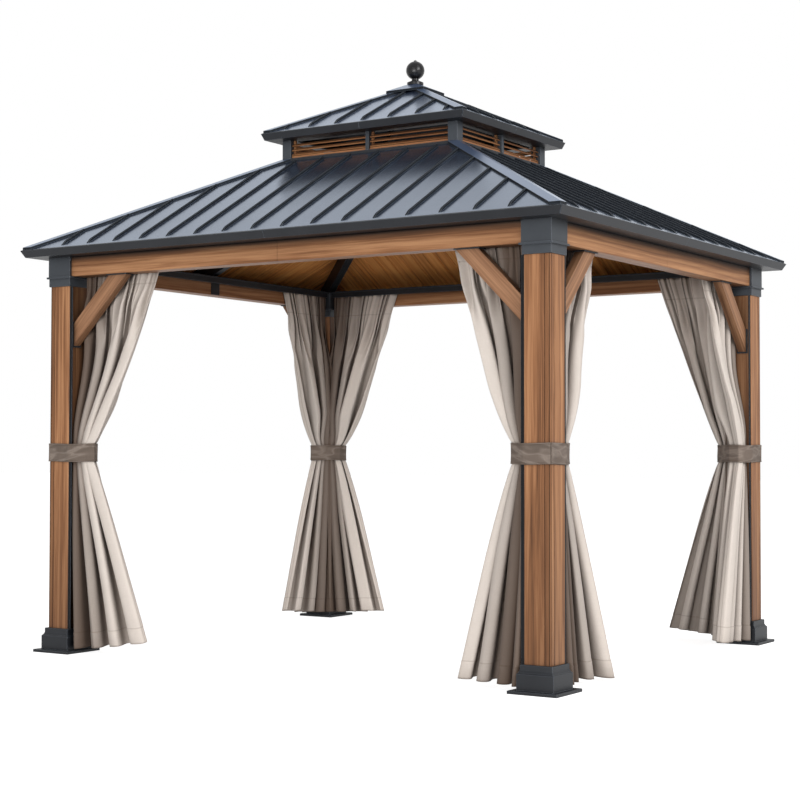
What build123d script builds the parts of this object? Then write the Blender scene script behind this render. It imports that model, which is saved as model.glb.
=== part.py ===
from build123d import *
import math
import os

# A two-tier hardtop gazebo with wood-grain posts and beams, in millimetres.
# The origin is on the ground at the middle of the plan, +Z is up and -Y is the front.

# Plan
post_spacing_x = 3100
post_spacing_y = 2590
eave_overhang = 198
cupola_length = 1196
cupola_width = 1030
upper_eave_overhang = 92

# Heights
clear_height = 2150
roof_rise = 552
cupola_wall_height = 122
upper_roof_rise = 308

# Post bases
base_plate_width = 266
base_plate_height = 16
base_block_width = 200
base_block_height = 83
base_block_chamfer = 6
base_cove_width = 187
base_cove_height = 12
base_top_width = 174
base_top_height = 26
base_edge_chamfer = 2.5

# Posts
post_width = 146
post_edge_chamfer = 4
groove_width = 4
groove_depth = 3.5
groove_near_edge = 6
groove_far_edge = 31
trim_width = 18
trim_thickness = 6
trim_setback = 5

# Post collars
collar_band_width = 160
collar_band_height = 46
collar_ledge_width = 184
collar_ledge_thickness = 10
collar_block_width = 165
collar_edge_chamfer = 2.5

# Beams and their fittings
beam_height = 111
beam_width = 100
beam_setback = 15
beam_seam_gap = 1.6
beam_edge_chamfer = 3
splice_length = 82
splice_thickness = 4
rail_height = 34
rail_depth = 28

# Corner braces
brace_width = 90
brace_depth = 50
brace_reach = 396
brace_plate_thickness = 6
brace_plate_margin = 9

# Lower roof
eave_height = 39
eave_set_in = 21
eave_depth = 36
eave_lip = 10
soffit_thickness = 8
mitre_gap = 1.2
panel_thickness = 8
ceiling_thickness = 20
rib_pitch = 193
rib_width = 12
rib_height = 16
rib_chamfer = 3
rib_taper = 34
rib_nose_height = 2
rib_start = 30
rib_end_gap = 26
rib_shortest = 30
hip_cap_reach = 62
hip_cap_thickness = 14
hip_gap = 1.2
rafter_depth = 108
rafter_width = 50
hip_rafter_reach = 34
curb_thickness = 40
curb_upstand = 16

# Cupola
cupola_post_width = 60
mullion_width = 22
louver_depth = 30
louver_setback = 12
louver_pitch = 27
louver_thickness = 6
louver_tilt = 30
louver_rail_height = 13
louver_stile_width = 14
louver_stile_depth = 12

# Upper roof
upper_eave_height = 38
upper_eave_set_in = 15
upper_eave_depth = 28
upper_rib_pitch = 182
upper_hip_cap_reach = 50
upper_rafter_depth = 40
upper_rafter_reach = 26
upper_ring_half_share = 0.06
apex_cap_length = 262
apex_cap_width = 234
apex_cap_skirt = 14
apex_cap_top_width = 84

# Finial
finial_ring_radius = 49
finial_ring_height = 24
finial_neck_radius = 21
finial_neck_height = 15
finial_ball_radius = 55
finial_tip_radius = 9
finial_tip_height = 9
finial_ball_steps = 12

# Curtains and tie bands
curtain_top_spread = 545
curtain_hem_spread = 475
curtain_waist_spread = 100
curtain_shoulder_share = 0.71
curtain_shin_share = 0.66
curtain_shin_level_share = 0.5
curtain_hem_height = 28
curtain_gap = 2
curtain_hang_gap = 0.3
curtain_depth = 78
curtain_waist_out = 46
curtain_waist_in = 68
curtain_hem_out = 84
curtain_hem_in = 104
tie_height = 106
tie_middle_height = 1140
tie_thickness = 4
tie_clearance = 0.4

# One overrun serves every cut
overrun = 400

# Places that follow from the sizes above
roof_length = post_spacing_x + eave_overhang * 2
roof_width = post_spacing_y + eave_overhang * 2
upper_roof_length = cupola_length + upper_eave_overhang * 2
upper_roof_width = cupola_width + upper_eave_overhang * 2
half_x = post_spacing_x / 2
half_y = post_spacing_y / 2
post_half = post_width / 2
block_half = collar_block_width / 2
beam_outer = block_half - beam_setback
beam_inner = beam_width - beam_outer
rail_inner = beam_inner + rail_depth
base_height = base_plate_height + base_block_height + base_cove_height + base_top_height
ledge_bottom = clear_height - collar_ledge_thickness
post_top = ledge_bottom - collar_band_height
soffit_z = clear_height + beam_height
soffit_top = soffit_z + soffit_thickness
eave_z = soffit_z + eave_height
cupola_base = eave_z + roof_rise
curb_top = cupola_base + curb_upstand
upper_soffit_z = cupola_base + cupola_wall_height
upper_soffit_top = upper_soffit_z + soffit_thickness
upper_eave_z = upper_soffit_z + upper_eave_height
rail_bottom = soffit_z - rail_height
corners = {"front_left": (-1, -1), "front_right": (1, -1), "back_right": (1, 1), "back_left": (-1, 1)}
sides = ("front", "right", "back", "left")
plus_end = {"front": "front_right", "right": "back_right", "back": "back_left", "left": "front_left"}
minus_end = {"front": "front_left", "right": "front_right", "back": "back_right", "left": "back_left"}


def slab(x_range, y_range, z_range):
    """A block between two corners, given as ranges on each axis."""
    size = [high - low for low, high in (x_range, y_range, z_range)]
    middle = [(high + low) / 2 for low, high in (x_range, y_range, z_range)]
    return Pos(*middle) * Box(*size)


def flat_prism(points, direction):
    """A prism of a plane outline in space, pushed along a vector."""
    return Solid.extrude(Face(Wire.make_polygon(points, close=True)), Vector(*direction))


def prismatoid(low, high):
    """A solid between two level rectangles, each given as its x range, y range and height."""
    rings = []
    for (left, right), (near, far), level in (low, high):
        rings.append([(left, near, level), (right, near, level), (right, far, level), (left, far, level)])
    under, over = rings
    walls = [[under[a], under[b], over[b], over[a]] for a, b in ((0, 1), (1, 2), (2, 3), (3, 0))]
    faces = [Face(Wire.make_polygon(ring, close=True)) for ring in rings + walls]
    return Solid(Shell(faces))


def centred(width):
    """The range of a width about the middle."""
    return (-width / 2, width / 2)


def turned(shape, side):
    """Turns a piece modelled on the front side to the named side."""
    return Rot(0, 0, 90 * sides.index(side)) * shape


def four_mirrored(shape):
    """A piece of the front right quarter with its three mirror images."""
    pair = [shape, shape.mirror(Plane.YZ)]
    return pair + [copy.mirror(Plane.XZ) for copy in pair]


def wall_half_sizes(side):
    """Half the span between post centres, and the distance of the wall from the middle."""
    return (half_x, half_y) if side in ("front", "back") else (half_y, half_x)


class Tier:
    """One roof tier: a frustum between an eave rectangle and a smaller top rectangle."""

    def __init__(self, length, width, top_length, top_width, eave, rise):
        self.length, self.width = length / 2, width / 2
        self.top_length, self.top_width = top_length / 2, top_width / 2
        self.eave, self.rise = eave, rise

    def slope(self, side):
        """The slope on one side: half eave, half top, distance out, run and pitch."""
        return Slope(self, side in ("front", "back"))


class Slope:
    """One roof slope in the front side's frame, with outlines as (along, inward) points."""

    def __init__(self, tier, long_side):
        self.tier = tier
        self.half_eave = tier.length if long_side else tier.width
        self.half_top = tier.top_length if long_side else tier.top_width
        self.out = tier.width if long_side else tier.length
        self.run = self.out - (tier.top_width if long_side else tier.top_length)
        self.pitch = tier.rise / self.run

    def hip(self, inward):
        """Where the hip stands along the eave at a distance inward of it."""
        return self.half_eave - (self.half_eave - self.half_top) * inward / self.run

    def reach(self, along):
        """How far inward a line up the slope runs before it meets the hip or the top."""
        beside = max(abs(along) - self.half_top, 0)
        return self.run * (1 - beside / (self.half_eave - self.half_top))

    def height(self, inward):
        return self.tier.eave + inward * self.pitch

    def sheet(self, outline, lift, thickness):
        """A sheet of that outline on the slope, lifted off the roof plane, with upright edges."""
        points = [(along, inward - self.out, self.height(inward) + lift) for along, inward in outline]
        return flat_prism(points, (0, 0, thickness))

    def trapezoid(self, start, gap):
        """The outline of the whole slope from a line near the eave up to its top."""
        low, high = self.hip(start) - gap, self.half_top - gap
        return [(-low, start), (low, start), (high, self.run), (-high, self.run)]


lower = Tier(roof_length, roof_width, cupola_length, cupola_width, eave_z, roof_rise)
upper = Tier(
    upper_roof_length,
    upper_roof_width,
    upper_roof_length * upper_ring_half_share,
    upper_roof_width * upper_ring_half_share,
    upper_eave_z,
    upper_roof_rise * (1 - upper_ring_half_share),
)


def post_base():
    """A stepped foot cover: plate, block, cove and neck."""
    widths = (base_plate_width, base_block_width, base_cove_width, base_top_width)
    plate_range, block_range, cove_range, neck_range = map(centred, widths)
    plate = slab(plate_range, plate_range, (0, base_plate_height))
    plate = chamfer(plate.edges().group_by(Axis.Z)[-1], base_edge_chamfer)
    block_top = base_plate_height + base_block_height
    block = slab(block_range, block_range, (base_plate_height, block_top))
    block = chamfer(block.edges().group_by(Axis.Z)[-1], base_block_chamfer)
    neck_bottom = block_top + base_cove_height
    cove = prismatoid((cove_range, cove_range, block_top), (neck_range, neck_range, neck_bottom))
    neck = slab(neck_range, neck_range, (neck_bottom, base_height))
    neck = chamfer(neck.edges().group_by(Axis.Z)[-1], base_edge_chamfer)
    return plate + block + cove + neck


def post():
    """A square post with two shadow grooves beside its outer edge, for the front right corner."""
    shaft = slab((-post_half, post_half), (-post_half, post_half), (base_height, post_top))
    shaft = chamfer(shaft.edges().filter_by(Axis.Z), post_edge_chamfer)
    for edge in (groove_near_edge, groove_far_edge):
        start = post_half - edge - groove_width
        groove = (start, start + groove_width)
        depth = (post_half - groove_depth, post_half + groove_depth)
        front = (-depth[1], -depth[0])
        upright = (base_height - overrun, post_top + overrun)
        shaft -= slab(groove, front, upright)
        shaft -= slab(depth, (-groove[1], -groove[0]), upright)
    return shaft


def post_trims():
    """Dark edge strips on the two faces toward the openings, for the front right post."""
    upright = (base_height, post_top)
    near = -post_half + trim_setback
    strip = slab((-post_half - trim_width, -post_half), (near, near + trim_thickness), upright)
    swapped = slab((-near - trim_thickness, -near), (post_half, post_half + trim_width), upright)
    return [strip, swapped]


def post_collar():
    """A band on the post head, a thin ledge and the block that the beams meet."""
    band_half, ledge_half = collar_band_width / 2, collar_ledge_width / 2
    band = slab((-band_half, band_half), (-band_half, band_half), (post_top, ledge_bottom))
    band = chamfer(band.edges().group_by(Axis.Z)[0], collar_edge_chamfer)
    ledge = slab((-ledge_half, ledge_half), (-ledge_half, ledge_half), (ledge_bottom, clear_height))
    ledge = chamfer(ledge.edges().filter_by(Axis.Z), collar_edge_chamfer)
    block = slab((-block_half, block_half), (-block_half, block_half), (clear_height, soffit_z))
    return band + ledge + block


def beam_halves(side):
    """The two halves of one beam, from the collar blocks to a seam in the middle."""
    span, out = wall_half_sizes(side)
    end = span - block_half
    faces = (-out - beam_outer, -out + beam_inner)
    half = slab((beam_seam_gap / 2, end), faces, (clear_height, soffit_z))
    half = chamfer(half.edges().filter_by(Axis.X), beam_edge_chamfer)
    return [turned(half, side), turned(half.mirror(Plane.YZ), side)]


def beam_splice(side):
    """The plate that joins the two halves on the inner face, below the rail."""
    out = wall_half_sizes(side)[1]
    face = -out + beam_inner
    plate = slab(
        (-splice_length / 2, splice_length / 2),
        (face, face + splice_thickness),
        (clear_height + beam_edge_chamfer, rail_bottom),
    )
    return turned(plate, side)


def curtain_rail(side):
    """The rail along the top of a beam's inner face."""
    span, out = wall_half_sizes(side)
    end = span - block_half
    rail = slab((-end, end), (-out + beam_inner, -out + rail_inner), (rail_bottom, soffit_z))
    return turned(rail, side)


def brace_set(side):
    """The two corner braces of one wall and the plates at their ends."""
    span, out = wall_half_sizes(side)
    face = span - post_half
    top = clear_height - brace_plate_thickness
    foot = face - brace_plate_thickness
    inner_reach = brace_reach - brace_width * math.sqrt(2)
    middle = -out - (beam_outer - beam_inner) / 2
    front = middle - brace_depth / 2
    outline = [
        (face - brace_reach, front, top),
        (face - inner_reach, front, top),
        (foot, front, top - inner_reach + brace_plate_thickness),
        (foot, front, top - brace_reach + brace_plate_thickness),
    ]
    brace = flat_prism(outline, (0, brace_depth, 0))
    plate_faces = (front - brace_plate_margin, front + brace_depth + brace_plate_margin)
    head_plate = slab(
        (face - brace_reach - brace_plate_margin, face - inner_reach + brace_plate_margin),
        plate_faces,
        (top, clear_height),
    )
    foot_plate = slab(
        (foot, face),
        plate_faces,
        (
            top - brace_reach + brace_plate_thickness - brace_plate_margin,
            top - inner_reach + brace_plate_thickness + brace_plate_margin,
        ),
    )
    braces = [brace, brace.mirror(Plane.YZ)]
    plates = [head_plate, foot_plate]
    plates += [plate.mirror(Plane.YZ) for plate in plates]
    return [turned(item, side) for item in braces], [turned(item, side) for item in plates]


def roof_panel(slope, side, pitch, cap_reach, rib_limit):
    """A metal slope with its standing seams, which start behind the eave and stop at the hip caps."""
    panel = slope.sheet(slope.trapezoid(eave_lip, hip_gap), -panel_thickness, panel_thickness)
    whole = math.floor(slope.half_eave / pitch + 1 / 2)
    odd_shift = 0 if slope.tier is upper else 1 / 2
    ribs = []
    for step in range(1 - whole, whole + 1):
        place = (step - odd_shift) * pitch
        left, right = place - rib_width / 2, place + rib_width / 2
        clear = cap_reach + hip_gap
        left_end = min(slope.reach(abs(left) + clear), rib_limit)
        right_end = min(slope.reach(abs(right) + clear), rib_limit)
        if min(left_end, right_end) < rib_start + rib_shortest:
            continue
        outline = [(left, rib_start), (right, rib_start), (right, right_end), (left, left_end)]
        rib = slope.sheet(outline, 0, rib_height)
        long_edges = rib.edges().filter_by(Axis((0, 0, 0), (0, 1, slope.pitch)))
        long_edges = long_edges.sort_by(lambda edge: edge.center().Z - edge.center().Y * slope.pitch)
        ribs.append(chamfer(long_edges[-2:], rib_chamfer) - rib_nose(slope, left))
    return turned(Part() + [panel] + ribs, side)


def rib_nose(slope, left):
    """What is cut off the lower end of a seam so that it runs out on the sheet."""
    nose = rib_start - slope.out
    low = slope.height(rib_start) + rib_nose_height
    rise = rib_taper * slope.pitch + rib_height
    outline = [
        (left - rib_width, nose, low),
        (left - rib_width, nose + rib_taper * 2, low + rise * 2),
        (left - rib_width, nose - rib_taper, low + rise * 2),
        (left - rib_width, nose - rib_taper, low),
    ]
    return flat_prism(outline, (rib_width * 3, 0, 0))


def hip_strip(tier, reach, lift, thickness, start, end_gap):
    """A strip over the front right hip, folded along the hip line, from near the eave to the top."""
    front, right = tier.slope("front"), tier.slope("right")
    strips = []
    for slope in (front, right):
        low, high = start * slope.run, slope.run - end_gap
        sign = 1 if slope is front else -1
        outline = [
            (sign * slope.hip(low), low),
            (sign * slope.hip(high), high),
            (sign * (slope.hip(high) - reach), high),
            (sign * (slope.hip(low) - reach), low),
        ]
        strips.append(slope.sheet(outline, lift, thickness))
    return strips[0].fuse(turned(strips[1], "right"))


def eave_trim(tier, side, depth, height, set_in, inner, gap):
    """The fascia and soffit of one side, in two halves that are mitred at the corners."""
    slope = tier.slope(side)
    low = tier.eave - height
    section = [
        (0, -slope.out, tier.eave),
        (0, set_in - slope.out, low),
        (0, inner - slope.out, low),
        (0, inner - slope.out, low + soffit_thickness),
        (0, depth - slope.out, low + soffit_thickness),
        (0, depth - slope.out, slope.height(depth)),
    ]
    bar = flat_prism(section, (slope.half_eave, 0, 0))
    plan = [
        (gap / 2, -slope.out, low - overrun),
        (slope.half_eave - gap, -slope.out, low - overrun),
        (slope.half_eave - gap - inner, inner - slope.out, low - overrun),
        (gap / 2, inner - slope.out, low - overrun),
    ]
    half = bar & flat_prism(plan, (0, 0, overrun + overrun + height))
    other = tier.slope("right" if side in ("front", "back") else "front")
    for near, turn in ((slope, "front"), (other, "right")):
        half -= turned(near.sheet(near.trapezoid(eave_lip, 0), -panel_thickness, overrun), turn)
        under_ceiling = -panel_thickness - ceiling_thickness
        half -= turned(near.sheet(near.trapezoid(depth, 0), under_ceiling, overrun), turn)
    return [turned(half, side), turned(half.mirror(Plane.YZ), side)]


def side_rafter(side):
    """A rafter up the middle of one slope, seated on the soffit and the beam."""
    slope = lower.slope(side)
    lift = -panel_thickness - ceiling_thickness - rafter_depth
    outline = [
        (-rafter_width / 2, eave_depth),
        (rafter_width / 2, eave_depth),
        (rafter_width / 2, slope.run),
        (-rafter_width / 2, slope.run),
    ]
    rafter = slope.sheet(outline, lift, rafter_depth)
    return turned(above(rafter, soffit_top), side)


def above(shape, level):
    """What is left of a shape above a level."""
    reach = roof_length
    return shape & slab((-reach, reach), (-reach, reach), (level, level + reach))


def cupola_wall(side):
    """Two louvred panels of one cupola wall: a rail, tilted slats and stiles behind the slats' ends."""
    long_side = side in ("front", "back")
    half_span = (cupola_length if long_side else cupola_width) / 2
    out = (cupola_width if long_side else cupola_length) / 2
    left, right = mullion_width / 2, half_span - cupola_post_width
    bottom, top = curb_top, upper_soffit_z
    face = -out + louver_setback
    faces = (face, face + louver_depth)
    behind = (face + louver_depth - louver_stile_depth, face + louver_depth)
    frame = [
        slab((left, left + louver_stile_width), behind, (bottom, top)),
        slab((right - louver_stile_width, right), behind, (bottom, top)),
        slab((left, right), faces, (bottom, bottom + louver_rail_height)),
    ]
    count = math.floor((top - bottom - louver_rail_height) / louver_pitch)
    margin = louver_rail_height + louver_pitch / 2
    slat_profile = Rectangle(louver_depth, louver_thickness)
    for step in range(count):
        place = Location((left, face + louver_depth / 2, bottom + margin + step * louver_pitch))
        slat = extrude(Plane.YZ * Rot(0, 0, louver_tilt) * slat_profile, right - left)
        frame.append(place * slat)
    panel = Part() + frame
    panel &= slab((left, right), faces, (bottom, top))
    return [turned(panel, side), turned(panel.mirror(Plane.YZ), side)]


def cupola_frame():
    """Corner posts and middle mullions between the curb and the upper soffit."""
    upright = (curb_top, upper_soffit_z)
    x_far, y_far = cupola_length / 2, cupola_width / 2
    corner = slab((x_far - cupola_post_width, x_far), (-y_far, cupola_post_width - y_far), upright)
    mullion = (-mullion_width / 2, mullion_width / 2)
    front = slab(mullion, (-y_far, cupola_post_width - y_far), upright)
    right = slab((x_far - cupola_post_width, x_far), mullion, upright)
    return four_mirrored(corner) + [front, front.mirror(Plane.XZ), right, right.mirror(Plane.YZ)]


def roof_curb():
    """Four boards round the roof opening that take the slopes and carry the cupola."""
    x_far, y_far = cupola_length / 2, cupola_width / 2
    bottom = cupola_base - panel_thickness - ceiling_thickness - rafter_depth
    front = slab((-x_far, x_far), (-y_far, curb_thickness - y_far), (bottom, curb_top))
    end = y_far - curb_thickness
    right = slab((x_far - curb_thickness, x_far), (-end, end), (bottom, curb_top))
    return [front, front.mirror(Plane.XZ), right, right.mirror(Plane.YZ)]


def upper_rafters():
    """Four hip bars under the upper roof, seated on the soffit."""
    start_share = (upper_eave_depth + eave_lip) / upper.slope("front").run
    lift = -panel_thickness - upper_rafter_depth
    bar = hip_strip(upper, upper_rafter_reach, lift, upper_rafter_depth, start_share, 0)
    return four_mirrored(above(bar, upper_soffit_top))


def apex_cap():
    """A small pyramid cap with a skirt, which sits on the upper hip caps."""
    under = upper_eave_z + upper_roof_rise * (1 - apex_cap_length / upper_roof_length) + hip_cap_thickness
    crown_base = under + apex_cap_skirt
    crown_top = crown_base + upper_roof_rise * (apex_cap_length - apex_cap_top_width) / upper_roof_length
    wide = (centred(apex_cap_length), centred(apex_cap_width))
    tip = (centred(apex_cap_top_width), centred(apex_cap_top_width))
    skirt = slab(*wide, (under, crown_base))
    crown = prismatoid((*wide, crown_base), (*tip, crown_top))
    eave_level = upper_eave_z + hip_cap_thickness
    eave = (centred(upper_roof_length), centred(upper_roof_width), eave_level)
    ring = (centred(upper.top_length * 2), centred(upper.top_width * 2), eave_level + upper.rise)
    return skirt + crown - prismatoid(eave, ring)


def finial(base):
    """A turned finial: ring, neck, ball and tip."""
    ring_top = base + finial_ring_height
    neck_top = ring_top + finial_neck_height
    ball_middle = neck_top + math.sqrt(finial_ball_radius**2 - finial_neck_radius**2)
    tip_start = ball_middle + math.sqrt(finial_ball_radius**2 - finial_tip_radius**2)
    tip_end = tip_start + finial_tip_height
    ring = [
        (0, base),
        (finial_ring_radius, base),
        (finial_ring_radius, ring_top - finial_ring_height / 3),
        (finial_ring_radius * 2 / 3, ring_top),
        (finial_neck_radius, ring_top),
    ]
    low = -math.acos(finial_neck_radius / finial_ball_radius)
    high = math.acos(finial_tip_radius / finial_ball_radius)
    angles = [low + (high - low) * step / finial_ball_steps for step in range(finial_ball_steps + 1)]
    ball = [
        (finial_ball_radius * math.cos(angle), ball_middle + finial_ball_radius * math.sin(angle))
        for angle in angles
    ]
    tip = [(finial_tip_radius, tip_end - finial_tip_height / 2), (0, tip_end)]
    outline = Polyline(*ring, *ball, *tip, close=True)
    return revolve(Plane.XZ * make_face(outline), Axis.Z)


def curtain(side):
    """The plain soft solid of the curtain at the plus end of one wall."""
    span, out = wall_half_sizes(side)
    face = span - post_half
    waist = (tie_middle_height - tie_height / 2, tie_middle_height + tie_height / 2)
    top = rail_bottom - curtain_hang_gap
    shoulder = top - brace_reach - brace_plate_margin * 4
    shin = curtain_hem_height + (waist[0] - curtain_hem_height) * curtain_shin_level_share
    block_edge = (base_block_width - post_width) / 2 + curtain_gap * 3
    shin_edge = curtain_gap + block_edge * curtain_shin_level_share
    hang = (beam_inner + curtain_gap, beam_inner + curtain_gap + curtain_depth)
    gathered = (-curtain_waist_out, curtain_waist_in)
    levels = [
        (curtain_hem_height, block_edge, curtain_hem_spread, -curtain_hem_out, curtain_hem_in),
        (shin, shin_edge, curtain_hem_spread * curtain_shin_share, *gathered),
        (waist[0], curtain_gap, curtain_waist_spread, *gathered),
        (waist[1], curtain_gap, curtain_waist_spread, *gathered),
        (shoulder, trim_width + curtain_gap, curtain_top_spread * curtain_shoulder_share, *hang),
        (top, trim_width + curtain_gap, curtain_top_spread, *hang),
    ]
    rings = [
        ((face - far, face - near), (outer - out, inner - out), level)
        for level, near, far, outer, inner in levels
    ]
    return Part() + [prismatoid(low, high) for low, high in zip(rings, rings[1:])]


def tie_band():
    """A fabric band round the front right post and the two gathered curtains."""
    far = post_half + curtain_waist_spread
    outline = [
        (post_half, -post_half),
        (-post_half, -post_half),
        (-post_half - trim_width, trim_setback - post_half),
        (-far, -curtain_waist_out),
        (-far, curtain_waist_in),
        (-curtain_waist_in, far),
        (curtain_waist_out, far),
        (post_half - trim_setback, post_half + trim_width),
        (post_half, post_half),
    ]
    core = make_face(Polyline(*outline, close=True))
    inside = offset(core, tie_clearance, kind=Kind.INTERSECTION)
    outside = offset(core, tie_clearance + tie_thickness, kind=Kind.INTERSECTION)
    low = tie_middle_height - tie_height / 2
    return extrude(Pos(0, 0, low) * (outside - inside), tie_height)


nodes = {}
quarter_post, quarter_trims = post(), post_trims()
for name, (sign_x, sign_y) in corners.items():
    place = Pos(sign_x * half_x, sign_y * half_y, 0)
    shaft = quarter_post
    if sign_x < 0:
        shaft = shaft.mirror(Plane.YZ)
    if sign_y > 0:
        shaft = shaft.mirror(Plane.XZ)
    nodes[f"post_{name}"] = [place * shaft]
    nodes[f"post_base_{name}"] = [place * post_base()]
    nodes[f"post_collar_{name}"] = [place * post_collar()]

near_place = Pos(half_x, -half_y, 0)
nodes["post_edge_trims"] = [
    copy for strip in quarter_trims for copy in four_mirrored(near_place * strip)
]
nodes["tie_bands"] = four_mirrored(near_place * tie_band())

for side in sides:
    nodes[f"beam_{side}"] = beam_halves(side)
nodes["beam_splices"] = [beam_splice(side) for side in sides]
nodes["curtain_rails"] = [curtain_rail(side) for side in sides]
nodes["corner_braces"] = []
nodes["brace_plates"] = []
for side in sides:
    braces, plates = brace_set(side)
    nodes["corner_braces"] += braces
    nodes["brace_plates"] += plates

soffit_inner = eave_overhang + rail_inner
nodes["eave_trims"] = []
nodes["ceiling_panels"] = []
for side in sides:
    slope = lower.slope(side)
    panel = roof_panel(slope, side, rib_pitch, hip_cap_reach, slope.run - rib_end_gap)
    nodes[f"roof_panel_{side}"] = [panel]
    ceiling_outline = slope.trapezoid(eave_depth, hip_gap)
    ceiling = slope.sheet(ceiling_outline, -panel_thickness - ceiling_thickness, ceiling_thickness)
    nodes["ceiling_panels"].append(turned(ceiling, side))
    nodes["eave_trims"] += eave_trim(
        lower, side, eave_depth, eave_height, eave_set_in, soffit_inner, mitre_gap
    )
cap_start_share = eave_lip / lower.slope("front").run
hip_cap = hip_strip(lower, hip_cap_reach, 0, hip_cap_thickness, cap_start_share, 0)
nodes["roof_hip_caps"] = four_mirrored(hip_cap)
rafter_lift = -panel_thickness - ceiling_thickness - rafter_depth
rafter_start_share = (eave_depth + eave_lip) / lower.slope("front").run
hip_rafter = hip_strip(lower, hip_rafter_reach, rafter_lift, rafter_depth, rafter_start_share, 0)
nodes["hip_rafters"] = four_mirrored(above(hip_rafter, soffit_top))
nodes["side_rafters"] = [side_rafter(side) for side in sides]
nodes["roof_curb"] = roof_curb()

nodes["cupola_frame"] = cupola_frame()
nodes["cupola_louvers"] = [panel for side in sides for panel in cupola_wall(side)]

upper_inner = upper_eave_overhang + cupola_post_width
nodes["upper_eave_trims"] = []
nodes["upper_roof_panels"] = []
for side in sides:
    slope = upper.slope(side)
    cap_half = (apex_cap_width if side in ("front", "back") else apex_cap_length) / 2
    rib_limit = slope.out - cap_half - hip_gap
    panel = roof_panel(slope, side, upper_rib_pitch, upper_hip_cap_reach, rib_limit)
    nodes["upper_roof_panels"].append(panel)
    nodes["upper_eave_trims"] += eave_trim(
        upper, side, upper_eave_depth, upper_eave_height, upper_eave_set_in, upper_inner, mitre_gap
    )
upper_cap_start_share = eave_lip / upper.slope("front").run
upper_cap = hip_strip(upper, upper_hip_cap_reach, 0, hip_cap_thickness, upper_cap_start_share, 0)
nodes["upper_hip_caps"] = four_mirrored(upper_cap)
nodes["upper_rafters"] = upper_rafters()
cap = apex_cap()
nodes["apex_cap"] = [cap]
nodes["finial"] = [finial(cap.bounding_box().max.Z)]

for name in corners:
    nodes[f"curtains_{name}"] = []
for side in sides:
    drape = curtain(side)
    nodes[f"curtains_{plus_end[side]}"].append(turned(drape, side))
    nodes[f"curtains_{minus_end[side]}"].append(turned(drape.mirror(Plane.YZ), side))

os.makedirs("parts", exist_ok=True)
for name, pieces in nodes.items():
    export_step(Compound(children=pieces) if len(pieces) > 1 else pieces[0], f"parts/{name}.step")
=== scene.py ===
"""Looks of the two-tier hardtop gazebo: finishes, curtains, ties, ceiling boards, light and camera."""

import math
import random
from dataclasses import dataclass

import bmesh
import bpy
import numpy as np
from mathutils import Matrix, Vector


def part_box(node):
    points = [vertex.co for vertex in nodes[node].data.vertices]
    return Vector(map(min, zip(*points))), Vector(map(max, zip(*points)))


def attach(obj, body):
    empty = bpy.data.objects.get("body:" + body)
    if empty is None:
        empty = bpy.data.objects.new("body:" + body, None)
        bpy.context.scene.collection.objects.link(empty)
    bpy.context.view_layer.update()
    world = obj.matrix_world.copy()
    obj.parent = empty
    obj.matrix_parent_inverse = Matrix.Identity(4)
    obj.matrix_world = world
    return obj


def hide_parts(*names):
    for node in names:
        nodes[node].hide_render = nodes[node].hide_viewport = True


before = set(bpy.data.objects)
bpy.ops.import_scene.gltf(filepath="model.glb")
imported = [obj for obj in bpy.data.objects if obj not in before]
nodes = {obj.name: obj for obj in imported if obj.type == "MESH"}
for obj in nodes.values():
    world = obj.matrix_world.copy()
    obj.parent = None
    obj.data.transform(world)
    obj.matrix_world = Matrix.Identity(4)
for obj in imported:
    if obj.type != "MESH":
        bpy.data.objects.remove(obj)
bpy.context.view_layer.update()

MM = 0.001
TURN = 2 * math.pi
WHITE = (1, 1, 1, 1)
BODY = "root"
CORNERS = {
    "front_left": (-1, -1),
    "front_right": (1, -1),
    "back_right": (1, 1),
    "back_left": (-1, 1),
}


# Places read from the frame

post_low, post_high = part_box("post_front_right")
post_half = (post_high.x - post_low.x) / 2
post_x = (post_low.x + post_high.x) / 2
post_y = -(post_low.y + post_high.y) / 2
rail_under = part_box("curtain_rails")[0].z
tie_low, tie_high = [corner.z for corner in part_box("tie_bands")]
tie_middle = (tie_high + tie_low) / 2
tie_height = tie_high - tie_low
hem_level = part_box("curtains_front_left")[0].z
louver_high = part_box("cupola_louvers")[1]
eave_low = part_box("eave_trims")[0].z
foot_top = post_low.z
strip_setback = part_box("post_edge_trims")[1].x - post_x

# Half the width of a foot's cover, and how far the edge strips stand off a post's face
FOOT_HALF = 100 * MM
STRIP_REACH = 18 * MM


# Node graphs

BEVEL_SAMPLES = 4
SHADE_SAMPLES = 6
# Agreement of the eased and the flat normal, from a full edge to none
EDGE_AGREEMENT = (0.80, 0.97)
# Openness at which the shade of a hollow is full
HOLLOW_CLOSED = 0.1
# Numbers of a mix node's colour sockets, since their names repeat
MIX_FIRST = 6
MIX_SECOND = 7
MIX_RESULT = 2


def linear(red, green, blue):
    """A colour given in screen values from 0 to 255, as linear light."""
    shares = [value / 255 for value in (red, green, blue)]
    light = [s / 12.92 if s <= 0.04045 else ((s + 0.055) / 1.055) ** 2.4 for s in shares]
    return (*light, 1.0)


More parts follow.
